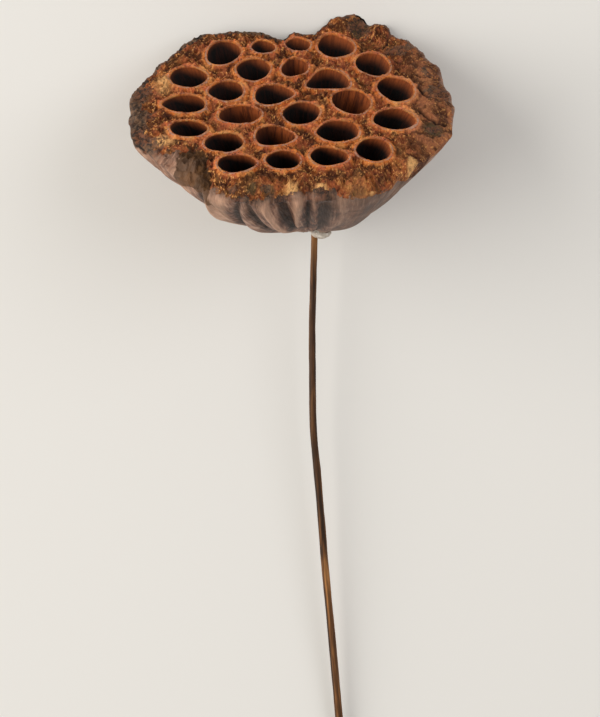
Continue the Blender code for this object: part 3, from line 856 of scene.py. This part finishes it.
podFinish = {
    # some of these colours paint light and shade: the pits', valleys', creases' and deep walls' colours are
    # painted shade, the crumbs' and crests' colours painted highlights, and the worn colour partly painted
    # light
    "fleshDark": "7e3a14", "fleshMiddle": "e27c34", "fleshLight": "f8a85c", "rosy": "e27850",
    "pitShade": "160400", "crumbHighlight": "ffb468", "valleyShade": "3c1804", "collar": "aa6c40", "wornAndLit": "ea9c6c",
    "ochre": "ffc27c", "hollow": "5a4c30", "leather": "6e5038", "leatherBrown": "76462c",
    "leatherDark": "22160e", "bark": "68431f", "lip": "c49c88", "wallTop": "9e4e20", "wallDeepShade": "040100",
    "wallLine": "381002", "skinDark": "462e26", "skinMiddle": "8a624e", "skinLight": "b8907a",
    "skinCreaseShade": "140c0a", "skinCrestHighlight": "e4b698", "skinGrey": "624c40",
    "fleshRough": 0.85, "skinRough": 0.6, "specular": 0.3, "relief": 0.002, "flat": 0.4,
    "fibreSize": 0.8, "fleshDrift": 6.0, "skinDrift": 8.0,
    "streaks": {"strands": (1.8, 7.0), "walls": (0.8, 9.0), "lines": (2.0, 10.0), "thin": (0.8, 8.0)},
    # soft noise: place, mm, detail, roughness, distortion, from and to, and what that becomes
    "clouds": {
        "rosy": ("grown", 5.0, 5, 0.65, 0, 0.46, 0.60, 0, 0.65),
        "valleyShade": ("flat", 5.0, 3, 0.55, 0, 0.42, 0.60, 0.9, 0.5),
        "glow": ("flat", 9.0, 3, 0.55, 0, 0.40, 0.60, 0.45, 1),
        "smear": ("flat", 3.0, 4, 0.6, 0, 0.42, 0.60, 0, 0.5),
        "barkEdge": ("flat", 3.0, 4, 0.6, 0, 0.3, 0.7, -0.25, 0.25),
        "patch": ("grown", 2.6, 4, 0.65, 0, 0.3, 0.7, -0.5, 0.5),
        "tone": ("grown", 9.0, 2, 0.55, 0, 0.44, 0.56, 0, 1),
        "leather": ("grown", 1.6, 5, 0.7, 0.6, 0.40, 0.60, 0, 1),
        "bark": ("run", 5.0, 3, 0.55, 0, 0.4, 0.6, 0.1, 0.6),
        "rub": ("grown", 1.6, 3, 0.6, 0, 0.38, 0.60, 0.1, 0.8),
        "outer": ("grown", 4.0, 4, 0.6, 0, 0.3, 0.7, -4, 4),
    },
    # masks: attribute, from and to, and what that becomes
    "masks": {
        "between": ("lip", 0.6, 1.8, 0, 1), "atLip": ("lip", 1.0, 0.15, 0, 1),
        "ochre": ("ochre", 0.15, 0.9, 0, 1), "hollow": ("hollow", 0.15, 0.7, 0, 0.7),
        "wall": ("down", 0.15, 0.7, 0, 1), "wallRelief": ("down", 0.3, 1.0, 1, 0.15),
        "wallLines": ("shallow", 0, 1, 0.4, 0.75),
        "crest": ("crest", 0.2, 1.5, 0, 0.5), "crease": ("crest", 0.0, -1.2, 0, 0.75),
    },
    "shares": {
        "wornAndLit": 0.65, "wornCalm": 0.4, "pitShade": 0.8, "strands": 0.12, "strandRelief": 0.2, "leather": 0.9,
        "shallow": 2.0, "paintedLitSide": 2.2, "skinLines": 0.45, "calm": 0.6, "ragged": 5.0, "bark": 0.85,
        "lineRelief": 0.5, "thinRelief": 0.25,
    },
}


def podMaterial():
    material, tree, shader = newMaterial("driedPod")
    paint = {name: tint(code) for name, code in podFinish.items() if isinstance(code, str)}
    share = podFinish["shares"]
    places = {"grown": place(tree, "grown"), "run": place(tree, "run"),
              "flat": place(tree, "grown", (1, 1, podFinish["flat"]))}
    cloud = {name: remap(tree, speckle(tree, places[where], size, detail, rough, distort), *ends)
             for name, (where, size, detail, rough, distort, *ends) in podFinish["clouds"].items()}
    on = {name: remap(tree, mask(tree, kept), *ends) for name, (kept, *ends) in podFinish["masks"].items()}
    streaks = {name: useGroup(tree, "streaks", {"Place": places["run"], "Width": width, "Length": length})
               for name, (width, length) in podFinish["streaks"].items()}

    # spongy flesh
    fibres = useGroup(tree, "fibres", {"Place": places["flat"], "Size": podFinish["fibreSize"]})
    tones = [paint[name] for name in ("fleshDark", "fleshMiddle", "fleshLight")]
    flesh = mottle(tree, places["flat"], podFinish["fleshDrift"], *tones)
    rough = maths(tree, "SUBTRACT", 1.0, times(tree, mask(tree, "wornAndLit"), share["wornCalm"]))
    # painted highlight: the raised crumbs, and the strands over the near rim, are coloured light
    crumbHighlight = times(tree, times(tree, fibres["Crumbs"], cloud["glow"]), rough)
    # painted shade: the low pits of the fibres are coloured near black
    pitShade = times(tree, times(tree, fibres["Pits"], share["pitShade"]), rough)
    strandLines = times(tree, mask(tree, "strand"), streaks["strands"]["Lines"])
    onOchre = times(tree, on["ochre"], remap(tree, fibres["Height"], 0.38, 0.54, 0.3, 0.95))
    onLeather = remap(tree, plus(tree, mask(tree, "leather"), cloud["patch"]), 0.42, 0.62)
    tone = blend(tree, cloud["tone"], paint["leather"], paint["leatherBrown"])
    leather = blend(tree, cloud["leather"], paint["leatherDark"], tone)
    onBark = remap(tree, plus(tree, mask(tree, "bark"), cloud["barkEdge"]), 0.42, 0.6)
    bark = blend(tree, cloud["bark"], paint["bark"], paint["leatherDark"])
    fromLip = maths(tree, "ABSOLUTE", maths(tree, "SUBTRACT", mask(tree, "lip"), 0.05))
    nearLip = times(tree, remap(tree, fromLip, 0.35, 0.1), cloud["rub"])
    flesh = layers(tree, flesh, (
        (cloud["rosy"], paint["rosy"]),
        # partly the smoother worn flesh, partly painted light: the right of the face is coloured lighter
        # where the light falls on it
        (times(tree, mask(tree, "wornAndLit"), share["wornAndLit"]), paint["wornAndLit"]),
        # painted shade: the flesh is coloured darker in the sunken valleys between the cells
        (times(tree, on["between"], cloud["valleyShade"]), paint["valleyShade"]),
        (crumbHighlight, paint["crumbHighlight"]),
        (pitShade, paint["pitShade"]),
        (times(tree, on["atLip"], cloud["smear"]), paint["collar"]),
        (times(tree, strandLines, share["strands"]), paint["crumbHighlight"]),
        (onOchre, paint["ochre"]),
        (on["hollow"], paint["hollow"]),
        (times(tree, onLeather, share["leather"]), leather),
        (onBark, bark),
        # painted shade: the cracks take the dark crease colour
        (mask(tree, "crack"), paint["skinCreaseShade"]),
        (times(tree, nearLip, mask(tree, "pale")), paint["lip"]),
    ))

    # the cells' walls, with painted shade: they darken to near black with depth, more slowly in the shallow
    # cells
    shallower = plus(tree, 1.0, times(tree, mask(tree, "shallow"), share["shallow"]))
    reach = maths(tree, "DIVIDE", mask(tree, "down"), shallower)
    # painted light: on the lit side of each cell the wall stays light deeper down
    reach = maths(tree, "SUBTRACT", reach, times(tree, mask(tree, "paintedLitSide"), share["paintedLitSide"]))
    wall = blend(tree, remap(tree, reach, -2.6, 2.2), paint["wallTop"], paint["wallDeepShade"])
    wall = blend(tree, times(tree, streaks["walls"]["Lines"], on["wallLines"]), wall, paint["wallLine"])

    # the wrinkled skin
    tones = [paint[name] for name in ("skinDark", "skinMiddle", "skinLight")]
    skin = mottle(tree, places["grown"], podFinish["skinDrift"], *tones)
    lines, thin = streaks["lines"], streaks["thin"]
    ragged = times(tree, speckle(tree, places["grown"], 2.4, 5.0, 0.7), share["ragged"])
    onSkin = remap(tree, plus(tree, ragged, mask(tree, "edge")), 2.3, 2.6)
    outer = remap(tree, plus(tree, mask(tree, "past"), cloud["outer"]), 7.0, 2.0)
    skin = layers(tree, skin, (
        (times(tree, lines["Lines"], share["skinLines"]), paint["skinDark"]),
        # painted highlight on the raised fine ridges and fold crests, painted shade in the fine grooves and
        # creases
        (remap(tree, thin["Height"], 0.52, 0.64, 0, 0.4), paint["skinCrestHighlight"]),
        (remap(tree, thin["Height"], 0.46, 0.36, 0, 0.5), paint["skinCreaseShade"]),
        (on["crest"], paint["skinCrestHighlight"]),
        (on["crease"], paint["skinCreaseShade"]),
        (times(tree, mask(tree, "calm"), share["calm"]), paint["skinGrey"]),
        # painted shade in the hollow round the scar
        (mask(tree, "scar"), paint["skinCreaseShade"]),
        (times(tree, outer, mask(tree, "rimDark")), leather),
        (mask(tree, "tucked"), leather),
        (times(tree, onBark, share["bark"]), bark),
    ))
    colourNow = layers(tree, flesh, ((on["wall"], wall), (onSkin, skin)))

    smoother = maths(tree, "MAXIMUM", onLeather, onSkin)
    roughness = remap(tree, smoother, 0, 1, podFinish["fleshRough"], podFinish["skinRough"])
    crumbly = maths(tree, "SUBTRACT", fibres["Height"], 0.5)
    crumbly = plus(tree, crumbly, times(tree, strandLines, share["strandRelief"]))
    crumbly = times(tree, crumbly, remap(tree, onLeather, 0, 1, 1.0, 0.3))
    fleshHeight = times(tree, crumbly, on["wallRelief"])
    lineHeight = times(tree, lines["Height"], share["lineRelief"])
    skinHeight = plus(tree, lineHeight, times(tree, thin["Height"], share["thinRelief"]))
    skinHeight = maths(tree, "SUBTRACT", skinHeight, 0.375)
    heights = {0: onSkin, 2: fleshHeight, 3: skinHeight}
    height = addNode(tree, "ShaderNodeMix", heights, data_type="FLOAT").outputs[0]
    wire(tree, shader, colourNow, height, 1.0, podFinish["relief"])
    tree.links.new(roughness, shader.inputs["Roughness"])
    shader.inputs["Specular IOR Level"].default_value = podFinish["specular"]
    print("pod material:", len(tree.nodes), "nodes")
    return material


# the stick
stick = {
    "route": ((7.2, -60), (7.0, -80), (7.3, -100), (8.6, -120),
              (10.6, -145), (13.3, -175), (16.4, -208), (19.6, -241)),
    "topRadius": 1.0, "tipRadius": 1.3, "inPod": 6, "flat": 0.15, "sides": 20, "rows": 260,
    "length": 200, "look": 0.002, "knots": (9, 0.09), "sway": (28, 0.35, 15),
    "pale": "b47c46", "middle": "6a4220", "dark": "2c1a0a", "rough": 0.6, "specular": 0.25,
    "streak": (0.5, 12.0), "lineShare": 0.5, "shaded": 0.6, "paleTop": 0.85,
}


def stickRoute():  # the middle line's guide points, mm
    start = layDown(np.array([[*podForm["lean"], -podForm["depth"]]]))[0]
    points = [np.array((x + lay["spot"][0], y + lay["spot"][1], 0.0)) for x, y in stick["route"]]
    tip = stick["tipRadius"] - stick["flat"]
    for point in points:
        point[2] = start[2] + (tip - start[2]) * (point[1] - start[1]) / (points[-1][1] - start[1])
    inward = (points[0] - start) / np.linalg.norm(points[0] - start)
    points = [start - inward * stick["inPod"], start, *points]
    return [2 * points[0] - points[1], *points, 2 * points[-1] - points[-2]], len(points) - 1


def onRoute(ends, spans, share):
    spot = share * spans
    first = min(int(spot), spans - 1)
    return Vector(between(*ends[first:first + 4], spot - first))


def stickMaterial():
    material, tree, shader = newMaterial("stick")
    dark, middle, pale = (tint(stick[name]) for name in ("dark", "middle", "pale"))
    width, length = stick["streak"]
    streaks = useGroup(tree, "streaks", {"Place": place(tree, "run"), "Width": width, "Length": length})
    bark = mottle(tree, place(tree, "run", (1, 1, 0.08)), 2.0, dark, middle, pale)
    along = mask(tree, "along")
    shaded = times(tree, remap(tree, along, 30, 55, 0, stick["shaded"]), remap(tree, along, 140, 105))
    bark = layers(tree, bark, (
        (times(tree, streaks["Lines"], stick["lineShare"]), dark),
        (shaded, dark),
        (remap(tree, along, 45, 8, 0, stick["paleTop"]), pale),
    ))
    wire(tree, shader, bark, streaks["Height"], 0.6, 0.0002)
    shader.inputs["Roughness"].default_value = stick["rough"]
    shader.inputs["Specular IOR Level"].default_value = stick["specular"]
    return material


def buildStick():
    obj = pieceFrom("stick", tube(stick["sides"], stick["rows"]), stickMaterial())
    ends, spans = stickRoute()
    unit = readPoints(obj.data)
    points, runs = [], []
    look = stick["look"]
    knotSize, knotUp = stick["knots"]
    swaySize, swayReach, swayFrom = stick["sway"]
    for x, y, z in unit:
        share = (z + 1) / 2
        middle = onRoute(ends, spans, share)
        before, after = (onRoute(ends, spans, at) for at in (max(0, share - look), min(1, share + look)))
        ahead = (after - before).normalized()
        across = ahead.cross(Vector((0, 0, 1))).normalized()
        up = across.cross(ahead)
        turn = math.atan2(y, x)
        length = share * stick["length"]
        radius = stick["topRadius"] + (stick["tipRadius"] - stick["topRadius"]) * share
        spot = Vector((math.cos(turn), math.sin(turn), length / knotSize))
        reach = radius + noise.fractal(spot, 0.8, 2, 3) * knotUp
        sway = noise.noise(Vector((3, 1, length / swaySize))) * swayReach * min(1, length / swayFrom)
        out = (across * math.cos(turn) + up * math.sin(turn)) * reach
        points.append(middle + out + Vector((sway, 0, 0)))
        runs.append((radius * math.cos(turn), radius * math.sin(turn), length))
    putOnTable(obj.data, np.array(points))
    obj.data.flip_normals()  # laying the tube along its route turned it inside out
    keepOnPoints(obj.data, "run", np.array(runs))
    keepOnPoints(obj.data, "along", np.array(runs)[:, 2])
    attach(obj, "root")
    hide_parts("stem")
    print("stick:", len(obj.data.polygons), "faces")


# the bead of glue
glue = {
    "radii": (3.3, 2.6, 1.8), "offset": (2.0, -1.5, -1.2), "cuts": 30, "swell": 0.12,
    "dark": "a8998a", "colour": "c8bcae", "cloud": "e4dccf", "drift": 2.0, "fibreSize": 1.6,
    "rough": 0.28, "ior": 1.48, "subsurface": 0.4, "subsurfaceRadius": (0.002, 0.0018, 0.0015),
}


def glueMaterial():
    material, tree, shader = newMaterial("glue")
    grown = place(tree, "grown")
    milk = mottle(tree, grown, glue["drift"], *(tint(glue[name]) for name in ("dark", "colour", "cloud")))
    fibres = useGroup(tree, "fibres", {"Place": grown, "Size": glue["fibreSize"]})
    wire(tree, shader, milk, fibres["Height"], 0.25, 0.0003)
    shader.inputs["Roughness"].default_value = glue["rough"]
    shader.inputs["IOR"].default_value = glue["ior"]
    shader.inputs["Subsurface Weight"].default_value = glue["subsurface"]
    shader.inputs["Subsurface Radius"].default_value = glue["subsurfaceRadius"]
    return material


def buildGlue():
    bm = bmesh.new()
    bmesh.ops.create_cube(bm, size=2)
    bmesh.ops.subdivide_edges(bm, edges=bm.edges, cuts=glue["cuts"], use_grid_fill=True)
    obj = pieceFrom("glueBead", bm, glueMaterial())
    unit = readPoints(obj.data)
    unit /= np.linalg.norm(unit, axis=1)[:, None]
    swell = 1 + glue["swell"] * grain(unit, 0.9, 2, 2)
    points = unit * swell[:, None] * np.array(glue["radii"])
    points += np.array((*podForm["lean"], -podForm["depth"])) + np.array(glue["offset"])
    keepOnPoints(obj.data, "grown", points)
    putOnTable(obj.data, layDown(points))
    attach(obj, "root")
    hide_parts("glue_bead")
    print("glue bead:", len(obj.data.polygons), "faces")


# floor and light
studio = {
    "floor": "e4e2de", "floorSize": 3.0, "floorRough": 0.9, "floorSpecular": 0.1,
    "world": "faf7f2", "worldStrength": 0.53, "lightsAim": (0, 0.09, 0.03),
    "key": {"place": (-1.42, 0.22, 0.84), "size": 1.9, "watts": 28, "tint": "fffcf6"},
    "fill": {"place": (0.9, 0.5, 1.1), "size": 1.0, "watts": 5, "tint": "fafaff"},
}


def buildStudio():
    bm = bmesh.new()
    bmesh.ops.create_grid(bm, x_segments=8, y_segments=8, size=studio["floorSize"])
    material, _, shader = newMaterial("floor")
    shader.inputs["Base Color"].default_value = tint(studio["floor"])
    shader.inputs["Roughness"].default_value = studio["floorRough"]
    shader.inputs["Specular IOR Level"].default_value = studio["floorSpecular"]
    floor = pieceFrom("floor", bm, material)
    world = bpy.data.worlds.new("studio")
    world.use_nodes = True
    background = world.node_tree.nodes["Background"]
    background.inputs["Color"].default_value = tint(studio["world"])
    background.inputs["Strength"].default_value = studio["worldStrength"]
    bpy.context.scene.world = world
    for name in ("key", "fill"):
        light = bpy.data.lights.new(name, "AREA")
        light.shape = "DISK"
        light.size = studio[name]["size"]
        light.energy = studio[name]["watts"]
        light.color = tint(studio[name]["tint"])[:3]
        lamp = bpy.data.objects.new(name, light)
        bpy.context.scene.collection.objects.link(lamp)
        lamp.location = studio[name]["place"]
        aim = Vector(studio["lightsAim"]) - lamp.location
        lamp.rotation_euler = aim.to_track_quat("-Z", "Y").to_euler()
    bpy.context.scene.view_settings.view_transform = "Standard"
    print("floor and lights in place")


makeCamera()
for makeGroup in (fibreGroup, streakGroup, mottleGroup):
    makeGroup()
buildPod(podMaterial())
buildStick()
buildGlue()
buildStudio()
